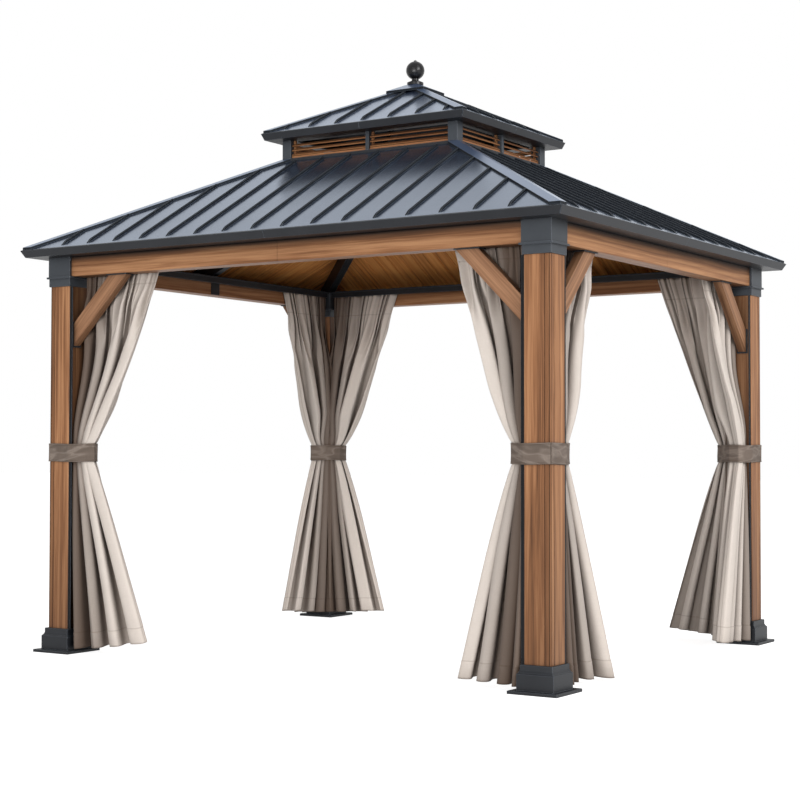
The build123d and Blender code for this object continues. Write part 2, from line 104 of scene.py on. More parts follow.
class Graph:
    """The node tree of a new material or world, with short calls that add and link nodes."""

    def __init__(self, name, kind="materials"):
        self.owner = getattr(bpy.data, kind).new(name)
        self.owner.use_nodes = True
        self.tree = self.owner.node_tree
        self.tree.nodes.clear()

    def add(self, kind, inputs=None, **settings):
        """A new node with its settings; each input is a value, or the socket that feeds it."""
        node = self.tree.nodes.new(kind)
        for key, value in settings.items():
            setattr(node, key, value)
        for key, value in (inputs or {}).items():
            if isinstance(value, bpy.types.NodeSocket):
                self.tree.links.new(value, node.inputs[key])
            else:
                node.inputs[key].default_value = value
        return node

    def math(self, operation, first, second=0.0, third=0.0):
        inputs = {0: first, 1: second, 2: third}
        return self.add("ShaderNodeMath", inputs, operation=operation).outputs[0]

    def times(self, first, second):
        return self.math("MULTIPLY", first, second)

    def minus(self, first, second):
        return self.math("SUBTRACT", first, second)

    def plus(self, value, weight, base):
        """The value times its weight, plus the base."""
        return self.math("MULTIPLY_ADD", value, weight, base)

    def place(self, kind="Object"):
        return self.add("ShaderNodeTexCoord").outputs[kind]

    def facing(self):
        return self.add("ShaderNodeNewGeometry").outputs["True Normal"]

    def split(self, vector):
        return self.add("ShaderNodeSeparateXYZ", {"Vector": vector}).outputs

    def join(self, x, y, z):
        return self.add("ShaderNodeCombineXYZ", {"X": x, "Y": y, "Z": z}).outputs[0]

    def scaled(self, vector, factors):
        return self.add("ShaderNodeMapping", {"Vector": vector, "Scale": factors}).outputs[0]

    def noise(self, vector, scale=1.0, detail=3.0, rough=0.5, distortion=0.0):
        inputs = {"Vector": vector, "Scale": scale, "Detail": detail}
        inputs |= {"Roughness": rough, "Distortion": distortion}
        return self.add("ShaderNodeTexNoise", inputs).outputs["Fac"]

    def ramp(self, factor, stops):
        node = self.add("ShaderNodeValToRGB", {"Fac": factor})
        elements = node.color_ramp.elements
        while len(elements) < len(stops):
            elements.new(1.0)
        for element, (position, colour) in zip(elements, stops):
            element.position = position
            element.color = colour
        return node.outputs["Color"]

    def level(self, factor, low, high, from_low=0.0, from_high=1.0):
        """Runs from low to high while the factor runs over its own range, and stays there past it."""
        inputs = {"Value": factor, "From Min": from_low, "From Max": from_high, "To Min": low, "To Max": high}
        return self.add("ShaderNodeMapRange", inputs).outputs["Result"]

    def mix(self, factor, first, second, blend="MIX"):
        inputs = {"Factor": factor, MIX_FIRST: first, MIX_SECOND: second}
        node = self.add("ShaderNodeMix", inputs, data_type="RGBA", blend_type=blend)
        return node.outputs[MIX_RESULT]

    def tint(self, colour, mask, strength, shade):
        """Mixes a shade into the colour, at the given strength where the mask is one."""
        return self.mix(self.times(mask, strength), colour, shade)

    def bump(self, height, distance, strength, normal=None):
        inputs = {"Height": height, "Distance": distance, "Strength": strength}
        if normal is not None:
            inputs["Normal"] = normal
        return self.add("ShaderNodeBump", inputs).outputs["Normal"]

    def rounded(self, radius):
        """The normal of a surface whose sharp edges are eased by that radius."""
        return self.add("ShaderNodeBevel", {"Radius": radius}, samples=BEVEL_SAMPLES).outputs["Normal"]

    def edges(self, eased):
        """One along the edges where the eased normal leaves the flat one, and zero elsewhere."""
        inputs = {0: eased, 1: self.facing()}
        node = self.add("ShaderNodeVectorMath", inputs, operation="DOT_PRODUCT")
        return self.level(node.outputs["Value"], 1.0, 0.0, *EDGE_AGREEMENT)

    def hollows(self, colour, shade, reach, strength, clear=0.9):
        """Paints shade into the colour where other surfaces stand close by, out to the given reach."""
        node = self.add("ShaderNodeAmbientOcclusion", {"Distance": reach}, samples=SHADE_SAMPLES)
        closed = self.level(node.outputs["AO"], strength, 0.0, HOLLOW_CLOSED, clear)
        return self.mix(closed, colour, shade)

    def surface(self, shader, kind="ShaderNodeOutputMaterial"):
        self.add(kind, {"Surface": shader})
        return self.owner

    def principled(self, **inputs):
        named = {key.replace("_", " "): value for key, value in inputs.items()}
        return self.add("ShaderNodeBsdfPrincipled", named).outputs["BSDF"]


# Wood-grain finish; patterns are given per metre, with the grain along the third axis

WOOD_COLOURS = (linear(80, 50, 30), linear(133, 90, 59), linear(172, 126, 89))
BRACE_COLOURS = (linear(74, 48, 32), linear(124, 88, 63), linear(160, 120, 90))
LOUVER_COLOURS = (linear(84, 52, 32), linear(146, 97, 62), linear(182, 130, 86))
TONE_STOPS = (0.38, 0.54, 0.70)
WAVES_PER_M = (5.0, 5.0, 0.9)
WAVE_SWING = 35 * MM
STREAKS_PER_M = (44.0, 44.0, 1.1)
STREAK_WEIGHT = 0.66
PORES_PER_M = (330.0, 330.0, 6.0)
PORE_WEIGHT = 0.16
PORE_DEPTH = 0.25 * MM
BROAD_BANDS_PER_M = (9.0, 9.0, 0.35)
BROAD_WEIGHT = 0.3
WOOD_ROUGHNESS = (0.42, 0.58)
WOOD_EDGE_RADIUS = 1.2 * MM
# Colour, reach and strength of the painted shade in hollows
WOOD_SHADE = (linear(26, 16, 10), 140 * MM, 0.7)


def wood_colour(graph, lengthwise, colours):
    """Streaks and fine pores along the third axis of the given coordinates."""
    drift = graph.noise(graph.scaled(lengthwise, WAVES_PER_M), detail=2.0)
    parts = graph.split(lengthwise)
    sideways = graph.plus(drift, WAVE_SWING, parts[0])
    bent = graph.join(sideways, parts[1], parts[2])
    streaks = graph.noise(graph.scaled(bent, STREAKS_PER_M), detail=4.0, rough=0.6, distortion=0.5)
    pores = graph.noise(graph.scaled(bent, PORES_PER_M), detail=2.0, rough=0.6)
    broad = graph.noise(graph.scaled(bent, BROAD_BANDS_PER_M), detail=1.0)
    tone = graph.times(streaks, STREAK_WEIGHT)
    tone = graph.plus(pores, PORE_WEIGHT, tone)
    tone = graph.plus(broad, BROAD_WEIGHT, tone)
    return graph.ramp(tone, list(zip(TONE_STOPS, colours))), pores, streaks


def wood_finish(name, coordinates, colours=WOOD_COLOURS, extra=None):
    """A printed wood-grain coat on metal, with painted shade in hollows; coordinates gives the lengthwise
    vector.
    """
    graph = Graph(name)
    colour, pores, streaks = wood_colour(graph, coordinates(graph), colours)
    if extra:
        colour = extra(graph, colour)
    # Painted shade in hollows
    colour = graph.hollows(colour, *WOOD_SHADE)
    roughness = graph.level(streaks, *WOOD_ROUGHNESS)
    eased = graph.rounded(WOOD_EDGE_RADIUS)
    normal = graph.bump(pores, PORE_DEPTH, strength=0.5, normal=eased)
    shader = graph.principled(
        Base_Color=colour, Roughness=roughness, Normal=normal, Specular_IOR_Level=0.2
    )
    return graph.surface(shader)


# Painted shade on the posts and beams, and a darker edge band on the posts, whose tints are a strength and a
# colour

# Depth from a post's outer face that still counts as that face
FACE_DEPTH = 6 * MM
EDGE_BAND = (33 * MM, 35 * MM)
EDGE_BAND_TINT = (0.4, linear(96, 62, 38))
# Painted shade in the posts' grooves
GROOVE_PLACES = (8 * MM, 33 * MM)
GROOVE_HALF = 2.2 * MM
GROOVE_CORE = 0.6
GROOVE_SHADE_TINT = (0.5, linear(52, 34, 22))
# Painted shade of the posts' inner faces, whose colour also darkens their lower ends: strengths for those
# that look along x, then those that look along y
POST_SHADE_COLOUR = linear(44, 26, 14)
INNER_STRENGTHS = (0.55, 0.2)
INNER_FACE = (2 * post_half - 1.5 * MM, 2 * post_half - 0.5 * MM)
# Strength of the painted shade toward the posts' lower ends
FOOT_SHADE_STRENGTH = 0.34
# Painted shadow of the eaves on the beams' outer faces, and the heights over which it fades in
EAVE_SHADOW_TINT = (0.94, linear(20, 13, 9))
EAVE_SHADE_LEVELS = (eave_low - 40 * MM, eave_low - 6 * MM)
LOUVER_WALL_DEPTH = 36 * MM


def post_shading(graph, colour):
    """Darkens an edge band on the long walls' faces, and paints shade in their grooves, on the inner faces
    and toward the lower end.
    """
    x, y, z = graph.split(graph.place())
    from_x = graph.minus(post_x + post_half, graph.math("ABSOLUTE", x))
    from_y = graph.minus(post_y + post_half, graph.math("ABSOLUTE", y))
    from_edge = graph.math("MAXIMUM", from_x, from_y)
    on_long_wall = graph.math("LESS_THAN", from_y, FACE_DEPTH)
    band = graph.times(graph.level(from_edge, 1.0, 0.0, *EDGE_BAND), on_long_wall)
    colour = graph.tint(colour, band, *EDGE_BAND_TINT)
    # Painted shade in the grooves
    for place in GROOVE_PLACES:
        distance = graph.math("ABSOLUTE", graph.minus(from_edge, place))
        groove = graph.level(distance, 1.0, 0.0, GROOVE_HALF * GROOVE_CORE, GROOVE_HALF)
        colour = graph.tint(colour, graph.times(groove, on_long_wall), *GROOVE_SHADE_TINT)
    # Painted shade on the inner faces, then toward the lower end
    for distance, strength in zip((from_x, from_y), INNER_STRENGTHS):
        inner = graph.level(distance, 0.0, 1.0, *INNER_FACE)
        colour = graph.tint(colour, inner, strength, POST_SHADE_COLOUR)
    lower_end = graph.level(z, 1.0, 0.0, foot_top, tie_high)
    return graph.tint(colour, lower_end, FOOT_SHADE_STRENGTH, POST_SHADE_COLOUR)


def under_eaves(graph, colour):
    """Paints the eaves' shadow on the upper edge of the beams' outer faces, close under the eaves."""
    x, y, z = graph.split(graph.place())
    past_x = graph.minus(graph.math("ABSOLUTE", x), post_x)
    past_y = graph.minus(graph.math("ABSOLUTE", y), post_y)
    outside = graph.math("GREATER_THAN", graph.math("MAXIMUM", past_x, past_y), 0.0)
    shade = graph.level(z, 0.0, 1.0, *EAVE_SHADE_LEVELS)
    return graph.tint(colour, graph.times(shade, outside), *EAVE_SHADOW_TINT)


def along_x(graph):
    x, y, z = graph.split(graph.place())
    return graph.join(y, z, x)


def along_y(graph):
    x, y, z = graph.split(graph.place())
    return graph.join(x, z, y)


def run_and_depth(graph, in_long_wall, x, y):
    """The place along a wall and across it: x and y in the long walls, y and x in the short ones."""
    run = graph.plus(in_long_wall, graph.minus(x, y), y)
    return run, graph.minus(graph.math("ADD", x, y), run)


def along_wall(graph):
    """Along the slats of the louvred wall that they stand in."""
    x, y, z = graph.split(graph.place())
    wall_face = louver_high.y - LOUVER_WALL_DEPTH
    in_long_wall = graph.math("GREATER_THAN", graph.math("ABSOLUTE", y), wall_face)
    run, depth = run_and_depth(graph, in_long_wall, x, y)
    return graph.join(depth, z, run)


def along_brace(graph):
    """Braces rise at 45 degrees toward the middle of the wall that they stand in."""
    x, y, z = graph.split(graph.place())
    across_x = graph.math("ABSOLUTE", x)
    across_y = graph.math("ABSOLUTE", y)
    in_long_wall = graph.math("GREATER_THAN", across_y, post_y - post_half)
    run, depth = run_and_depth(graph, in_long_wall, across_x, across_y)
    rise = graph.times(graph.minus(z, run), math.sqrt(0.5))
    width = graph.times(graph.math("ADD", z, run), math.sqrt(0.5))
    return graph.join(width, depth, rise)


# Painted metal finishes

EDGE_RADIUS = 3.5 * MM
# Colour and strength of the painted highlight along the edges
EDGE_HIGHLIGHT = linear(112, 120, 130)
EDGE_HIGHLIGHT_STRENGTH = 0.6
# Colour, reach and strength of the painted shade in hollows
METAL_SHADE = (linear(6, 6, 7), 40 * MM, 0.75)
DUST_PER_M = 3.0
DUST_RANGE = (0.35, 0.75)
DUST_GAIN = 1.35
DUST_LIFT = 0.004
DUST_ROUGHNESS = (-0.05, 0.09)
PEEL_PER_M = 420.0
PEEL_HEIGHT = 0.06 * MM


def painted_metal(name, colour, roughness, specular, sharp=True):
    """A satin powder coat with a faint orange peel and a little dust; unless sharp is off, painted shade in
    hollows and a painted highlight along the edges.
    """
    graph = Graph(name)
    place = graph.place()
    dust = graph.noise(place, DUST_PER_M, detail=5.0, rough=0.6)
    pale = (*[min(1.0, c * DUST_GAIN + DUST_LIFT) for c in colour[:3]], 1.0)
    shade = graph.mix(graph.level(dust, 0.0, 1.0, *DUST_RANGE), colour, pale)
    eased = None
    if sharp:
        eased = graph.rounded(EDGE_RADIUS)
        # Painted shade in hollows and a painted highlight along the edges
        shade = graph.hollows(shade, *METAL_SHADE)
        shade = graph.tint(shade, graph.edges(eased), EDGE_HIGHLIGHT_STRENGTH, EDGE_HIGHLIGHT)
    peel = graph.noise(place, PEEL_PER_M, detail=2.0)
    rough = graph.level(dust, *[roughness + change for change in DUST_ROUGHNESS])
    normal = graph.bump(peel, PEEL_HEIGHT, strength=0.6, normal=eased)
    shader = graph.principled(
        Base_Color=shade, Roughness=rough, Normal=normal, Specular_IOR_Level=specular
    )
    return graph.surface(shader)


# Roof sheet finish, with painted shade on the seams and undersides and a painted highlight along the edges

SHEET_EDGE_RADIUS = 3 * MM
# Strength of the painted highlight along the edges
SHEET_EDGE_HIGHLIGHT_STRENGTH = 0.7
# Near-black painted shade on the seams and undersides
SEAM_AND_UNDERSIDE_SHADE = linear(13, 14, 16)
SEAM_RISE = (0.4 * MM, 1.4 * MM)
SEAM_DULLNESS = 0.4
UPWARD_RANGE = (0.2, 0.5)
PAN_UPWARD = 0.5
PAN_LEAN = 0.2
PAN_DIGITS = 4
CLOUDS_PER_M = 1.7
CLOUD_RANGE = (0.3, 0.7)
RIPPLES_PER_M = 2.0
RIPPLE_HEIGHT = 2.5 * MM
SHEET_TINT = (0.68, 0.82, 1.0, 1.0)
COAT_TINT = (0.66, 0.80, 1.0, 1.0)
# On the open pans, then on the seams and undersides
SHEET_SPECULAR = (0.5, 0.1)
COAT_WEIGHT = (0.75, 0.0)


def pan_slope(name, axis):
    """Height that the flat pans would reach over the middle, and their fall per metre along the axis."""
    areas = {}
    for face in nodes[name].data.polygons:
        lean = abs(face.normal[axis])
        if face.normal.z > PAN_UPWARD and lean > PAN_LEAN:
            key = (round(face.normal.dot(face.center), PAN_DIGITS), round(lean, PAN_DIGITS))
            areas[key] = areas.get(key, 0.0) + face.area
    offset, lean = max(areas, key=areas.get)
    upward = math.sqrt(1 - lean ** 2)
    return offset / upward, lean / upward


def above_pans(graph, place, long_side, short_side):
    """One on the seams, which stand above the lower of the two pairs of slopes, and zero on the pans."""
    x, y, z = graph.split(place)
    levels = []
    for distance, (top, fall) in ((y, long_side), (x, short_side)):
        levels.append(graph.plus(graph.math("ABSOLUTE", distance), -fall, top))
    proud = graph.minus(z, graph.math("MINIMUM", *levels))
    return graph.level(proud, 0.0, 1.0, *SEAM_RISE)


def sheet_metal(name, colour, smooth, dull, slopes=None):
    """A glossy blue-grey coat on roof sheet; the seams and the undersides are painted black as shade, and the
    edges get a painted highlight.
    """
    graph = Graph(name)
    place = graph.place()
    cloudy = graph.noise(place, CLOUDS_PER_M)
    shaded_side = graph.level(graph.split(graph.facing())[2], 1.0, 0.0, *UPWARD_RANGE)
    if slopes:
        shaded_side = graph.math("MAXIMUM", shaded_side, above_pans(graph, place, *slopes))
    # Painted shade on the seams and undersides, and a painted highlight along the edges
    shade = graph.mix(shaded_side, colour, SEAM_AND_UNDERSIDE_SHADE)
    eased = graph.rounded(SHEET_EDGE_RADIUS)
    shade = graph.tint(shade, graph.edges(eased), SHEET_EDGE_HIGHLIGHT_STRENGTH, EDGE_HIGHLIGHT)
    rough = graph.level(cloudy, smooth, dull, *CLOUD_RANGE)
    rough = graph.plus(shaded_side, SEAM_DULLNESS, rough)
    ripple = graph.noise(place, RIPPLES_PER_M, detail=1.0)
    normal = graph.bump(ripple, RIPPLE_HEIGHT, strength=0.5, normal=eased)
    shader = graph.principled(
        Base_Color=shade, Roughness=rough, Normal=normal, IOR=1.9,
        Specular_IOR_Level=graph.level(shaded_side, *SHEET_SPECULAR), Specular_Tint=SHEET_TINT,
        Coat_Weight=graph.level(shaded_side, *COAT_WEIGHT), Coat_Roughness=0.22, Coat_Tint=COAT_TINT,
    )
    return graph.surface(shader)


# Fabric finishes; cloth coordinates are metres across and along the flat sheet

WEAVE_RADIANS_PER_M = 1800.0
WEAVE_WEIGHT = 0.3
SLUBS_PER_M = (700.0, 22.0)
SLUB_WEIGHT = 0.35
CLOTH_CLOUDS_PER_M = (3.0, 2.0, 1.0)
CLOTH_CLOUD_WEIGHT = 0.45
CLOTH_TONES = (0.38, 0.78)
WEAVE_DEPTH = 0.35 * MM
# Strength and colour of the painted shade toward the post
CLOTH_POST_SHADE = (0.86, linear(80, 60, 46))
# Colour, reach and strength of the painted shade in hollows
CLOTH_SHADE = (linear(84, 64, 50), 130 * MM, 0.72)
CURTAIN_SEE_THROUGH = 0.28
STRAP_SEE_THROUGH = 0.12


def woven(name, pale, deep, rows=(), columns=(), shaded=None, strap=False):
    """Plain weave with slubs, see-through light, stitched lines, painted shade in hollows and, where shaded
    is given, toward the post and, on a strap, wrinkles.
    """
    graph = Graph(name)
    place = graph.place("UV")
    across, along, _ = graph.split(place)
    warp, weft = [
        graph.math("SINE", graph.times(run, WEAVE_RADIANS_PER_M))
        for run in (across, along)
    ]
    slubs_up, slubs_over = [
        graph.noise(graph.scaled(place, (*pair, 1.0)), detail=2.0)
        for pair in (SLUBS_PER_M, SLUBS_PER_M[::-1])
    ]
    slubs = graph.math("ADD", slubs_up, slubs_over)
    cloudy = graph.noise(graph.scaled(place, CLOTH_CLOUDS_PER_M))
    tone = graph.times(cloudy, CLOTH_CLOUD_WEIGHT)
    tone = graph.plus(slubs, SLUB_WEIGHT, tone)
    colour = graph.mix(graph.level(tone, 0.0, 1.0, *CLOTH_TONES), deep, pale)
    height = graph.plus(graph.times(warp, weft), WEAVE_WEIGHT, slubs)
    for level in rows:
        colour, height = stitched(graph, across, along, level, colour, height)
    for level in columns:
        colour, height = stitched(graph, along, across, level, colour, height)
    if shaded:
        # Painted shade toward the post
        colour = graph.tint(colour, graph.level(across, 1.0, 0.0, *shaded), *CLOTH_POST_SHADE)
    creases = None
    if strap:
        colour, creases = wrinkled(graph, across, along, colour)
    # Painted shade in hollows
    colour = graph.hollows(colour, *CLOTH_SHADE, clear=0.98)
    normal = graph.bump(height, WEAVE_DEPTH, strength=0.5, normal=creases)
    body = graph.principled(
        Base_Color=colour, Roughness=0.9, Normal=normal,
        Sheen_Weight=0.08, Sheen_Roughness=0.5, Specular_IOR_Level=0.1,
    )
    through = graph.add("ShaderNodeBsdfTranslucent", {"Color": colour, "Normal": normal}).outputs[0]
    share = STRAP_SEE_THROUGH if strap else CURTAIN_SEE_THROUGH
    both = graph.add("ShaderNodeMixShader", {0: share, 1: body, 2: through})
    return graph.surface(both.outputs[0])


WRINKLE_SLANT = 1.3
WRINKLE_RISE = -0.22
WRINKLES_PER_M = (4.0, 17.0, 1.0)
WRINKLE_HEIGHT = 9 * MM
RIDGE_LEVEL = 0.52
RIDGE_HALF = 0.11
RIDGE_SHARPNESS = 1.8
RIDGE_WEIGHT = 0.25
# Painted highlight on the ridges, and painted shade in the creases
RIDGE_HIGHLIGHT_TINT = (0.28, linear(176, 163, 152))
CREASE_LEVELS = (0.30, 0.46)
CREASE_SHADE_TINT = (0.45, linear(82, 72, 64))
STRAP_SEAM = (1.2 * MM, 3.2 * MM)
STRAP_SEAM_TINT = (0.8, linear(74, 66, 60))


def wrinkled(graph, across, along, colour):
    """Slanting creases with painted shade in them and a painted highlight on their ridges, and a dark seam
    where the strap's ends meet.
    """
    slant = graph.plus(along, WRINKLE_SLANT, across)
    rise = graph.plus(across, WRINKLE_RISE, along)
    place = graph.scaled(graph.join(slant, rise, 0.0), WRINKLES_PER_M)
    folds = graph.noise(place, detail=1.5, distortion=0.9)
    from_ridge = graph.math("ABSOLUTE", graph.minus(folds, RIDGE_LEVEL))
    ridge = graph.math("POWER", graph.level(from_ridge, 1.0, 0.0, 0.0, RIDGE_HALF), RIDGE_SHARPNESS)
    # Painted highlight on the ridges and painted shade in the creases
    colour = graph.tint(colour, ridge, *RIDGE_HIGHLIGHT_TINT)
    colour = graph.tint(colour, graph.level(folds, 1.0, 0.0, *CREASE_LEVELS), *CREASE_SHADE_TINT)
    colour = graph.tint(colour, graph.level(across, 1.0, 0.0, *STRAP_SEAM), *STRAP_SEAM_TINT)
    height = graph.plus(ridge, RIDGE_WEIGHT, folds)
    return colour, graph.bump(height, WRINKLE_HEIGHT, strength=0.8)


STITCHES_PER_M = 230.0
STITCH_HALF = 1.1 * MM
STITCH_BEAT = -0.4
STITCH_RISE = 1.2
STITCH_GROOVE = 4 * STITCH_HALF
STITCH_GROOVE_DEPTH = -1.6
STITCH_SHADE = linear(190, 184, 178)
STITCH_SHADE_STRENGTH = 0.5


def stitched(graph, run, side, level, colour, height):
    """Adds a row of stitches and a fold shadow along one line of the cloth."""
    distance = graph.math("ABSOLUTE", graph.minus(side, level))
    row = graph.math("LESS_THAN", distance, STITCH_HALF)
    beat = graph.math("SINE", graph.times(run, STITCHES_PER_M * TURN))
    thread = graph.times(row, graph.math("GREATER_THAN", beat, STITCH_BEAT))
    groove = graph.level(distance, 1.0, 0.0, 0.0, STITCH_GROOVE)
    height = graph.plus(groove, STITCH_GROOVE_DEPTH, height)
    height = graph.plus(thread, STITCH_RISE, height)
    darker = graph.mix(1.0, colour, STITCH_SHADE, blend="MULTIPLY")
    return graph.tint(colour, groove, STITCH_SHADE_STRENGTH, darker), height


# Curtain cloth sizes

HEADER_DROP = 132 * MM
HEM_HEIGHT = 90 * MM
SIDE_HEM = 22 * MM
TIE_HEM = 44 * MM
CLOTH_LENGTH = rail_under - hem_level
CLOTH_WIDTH = 1.15
CLOTH_THICKNESS = 1.2 * MM
TAPE_LEVEL = rail_under - HEADER_DROP
SEAM_LEVEL = hem_level + HEM_HEIGHT

# Shares of each corner's cloth, from the post, where the painted shade starts to fade and where it ends
CLOTH_SHADED = {
    "front_left": (0.12, 0.62),
    "front_right": (0.34, 0.74),
    "back_right": (0.0, 0.32),
    "back_left": (0.15, 0.66),
}


# Finishes and the nodes that take them

def coat(material, *names):
    for name in names:
        nodes[name].data.materials.clear()
        nodes[name].data.materials.append(material)


def at_corners(kind):
    return [f"{kind}_{corner}" for corner in CORNERS]


coat(wood_finish("wood_grain_upright", Graph.place, extra=post_shading), *at_corners("post"))
coat(wood_finish("wood_grain_along_x", along_x, extra=under_eaves), "beam_front", "beam_back")
coat(wood_finish("wood_grain_along_y", along_y, extra=under_eaves), "beam_left", "beam_right")
coat(wood_finish("wood_grain_brace", along_brace, BRACE_COLOURS), "corner_braces")
coat(wood_finish("louver_wood_grain", along_wall, LOUVER_COLOURS), "cupola_louvers")
coat(
    painted_metal("charcoal_coat", linear(26, 28, 32), roughness=0.42, specular=0.25),
    *at_corners("post_base"), "beam_splices", "curtain_rails", "brace_plates", "eave_trims",
    "hip_rafters", "side_rafters", "roof_curb", "upper_eave_trims", "upper_rafters",
)
coat(
    painted_metal("collar_coat", linear(46, 50, 55), roughness=0.42, specular=0.3),
    *at_corners("post_collar"), "cupola_frame",
)
coat(painted_metal("edge_strip_coat", linear(14, 14, 16), roughness=0.5, specular=0.12), "post_edge_trims")
coat(painted_metal("finial_coat", linear(12, 12, 14), roughness=0.25, specular=0.28, sharp=False), "finial")
lower_slopes = pan_slope("roof_panel_front", 1), pan_slope("roof_panel_right", 0)
upper_slopes = pan_slope("upper_roof_panels", 1), pan_slope("upper_roof_panels", 0)
coat(
    sheet_metal("roof_coat", linear(44, 47, 54), 0.16, 0.28, lower_slopes),
    *[f"roof_panel_{side}" for side in ("front", "right", "back", "left")],
)
coat(sheet_metal("upper_roof_coat", linear(60, 65, 76), 0.16, 0.28, upper_slopes), "upper_roof_panels")
coat(
    sheet_metal("hip_cap_coat", linear(78, 84, 98), 0.26, 0.36),
    "roof_hip_caps", "upper_hip_caps", "apex_cap",
)
# Each corner's copy of the cloth differs only in how far its painted shade reaches
curtain_cloths = {}
for corner, (dark_to, pale_from) in CLOTH_SHADED.items():
    curtain_cloths[corner] = woven(
        f"curtain_weave_{corner}", linear(236, 226, 217), linear(216, 205, 195),
        rows=(HEM_HEIGHT, CLOTH_LENGTH - HEADER_DROP), columns=(CLOTH_WIDTH - SIDE_HEM,),
        shaded=(CLOTH_WIDTH * dark_to, CLOTH_WIDTH * pale_from),
    )
tie_cloth = woven(
    "tie_weave", linear(121, 108, 99), linear(97, 86, 78), rows=(-TIE_HEM, TIE_HEM), strap=True
)


# Mesh helpers

def linked(name, data):
    """A new object in the scene."""
    item = bpy.data.objects.new(name, data)
    bpy.context.scene.collection.objects.link(item)
    return item


def new_object(name, vertices, faces, material, uvs, smooth=True):
    """Adds a mesh object that rides on the body and takes the given finish."""
    mesh = bpy.data.meshes.new(name)
    mesh.from_pydata([tuple(v) for v in vertices], [], faces)
    layer = mesh.uv_layers.new(name="cloth")
    loops = np.zeros(len(mesh.loops), int)
    mesh.loops.foreach_get("vertex_index", loops)
    layer.data.foreach_set("uv", np.asarray(uvs, float)[loops].ravel())
    mesh.polygons.foreach_set("use_smooth", [smooth] * len(mesh.polygons))
    mesh.materials.append(material)
    piece = linked(name, mesh)
    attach(piece, BODY)
    return piece


def grid_faces(rows, columns, closed=False):
    """Quads of a grid of points, row after row; closed joins the last column to the first."""
    wide = columns if closed else columns - 1
    faces = []
    for row in range(rows - 1):
        for column in range(wide):
            beside = (column + 1) % columns
            low = row * columns
            high = low + columns
            faces.append((low + column, high + column, high + beside, low + beside))
    return faces


def thicken(piece, thickness):
    """Gives a sheet its thickness, half on each side."""
    solid = piece.modifiers.new("thickness", "SOLIDIFY")
    solid.thickness = thickness
    solid.offset = 0.0


def smooth_step(values, start, end):
    share = np.clip((values - start) / (end - start), 0.0, 1.0)
    return share * share * (3 - 2 * share)


# How the curtains hang; shares of the width run from the post to the free edge

CLOTH_COLUMNS = 200
FOLDS = 3.75
FOLD_CROWDING = 0.76
FOLD_DRIFT = 0.026
FOLD_SWAY = 0.22
SWAYS_PER_M = 0.4
FOLD_DIPS = 1.5
FOLD_DIP_SIZE = 1.2
FOLD_DIP_DEPTH = 0.3
FOLD_DIP_FROM = (0.1, 0.3)
RUFFLES = CREASES = 13
RUFFLE_DRIFT = 0.006
RUFFLE_SWAY = 0.3
RUFFLE_SWING = 1.15
RUFFLE_SHARE = 0.8
CREASE_DRIFT = 0.008
CREASE_DEPTH = 4 * MM
CREASE_RUN = 130 * MM
WANDER_WEIGHTS = (0.4, 1.0)
WANDER_DECAY = 0.7

# Bands of closer rows at the rail, the header's tape, the tie and the hem's seam
RAIL_GAP = 0.5 * MM
TAPE_BAND = 16 * MM
HEADER_BAND = 220 * MM
TIE_BAND = 160 * MM
SEAM_BAND = 12 * MM

# Gap from the post at the tie, and what is added at the rail and at the hem
POST_GAP = 4 * MM
RAIL_GAP_GROWTH = 17 * MM
RAIL_GAP_FULL = 0.8
HEM_GAP_GROWTH = 31 * MM
HEM_GAP_POWER = 1.5
HEM_OPENING = 0.92
WIDTH_SHARES = (0.03, 0.999)
SWING_DRIFT = 0.05
SWING_LIMIT = 2.2

# Reach out of the wall, which shrinks behind the braces and again behind the beams
OUTER_REACH = 42 * MM
BRACE_SETBACK = 55 * MM
BRACE_LEVELS = (1.25, 1.70)
BEAM_SETBACK = 24 * MM
BEAM_LEVELS = (1.95, 2.10)
OUTER_HEM_GROWTH = 43 * MM
FLARE_FROM = 0.3

# Reach into the room; the second of each pair is added beside the post
BESIDE_POST = 0.3
WAIST_REACH = (50 * MM, 40 * MM)
HEM_REACH = (62 * MM, 54 * MM)
HEM_REACH_POWER = 0.8
OPEN_REACH = 110 * MM
OPEN_REACH_FULL = 0.25
HEADER_REACH = 63 * MM
HEADER_RUN = 400 * MM
TAPE_HALF = 5 * MM

# The free edge swings outward between the tie and the header
FREE_EDGE_SWING = 34 * MM
FREE_EDGE_FROM = 0.76
SWING_RISE = 300 * MM
SWING_FALL = 500 * MM

# Puckers along the stitching, the doubled hem's step, and the hem's lift and scallops
PUCKER_DEPTH = 1.6 * MM
PUCKER_REPEATS = 16
TAPE_PUCKER_HALF = 9 * MM
SEAM_PUCKER_HALF = 8 * MM
SEAM_PUCKER_SHARE = 0.7
HEM_STEP = 1.6 * MM
HEM_STEP_HALF = 3 * MM
LIFT_ACROSS_POWER = 1.6
LIFT_DOWN_POWER = 1.3
SCALLOP = 5 * MM
SCALLOP_FROM = 0.6

# Room for the cloth's layers beside the post, its edge strips and its foot
LAYER_GAP = 3 * MM
LAYER_SPREAD = 4 * MM
STRIP_EDGE = -54 * MM
FOOT_CLEARANCE = 80 * MM


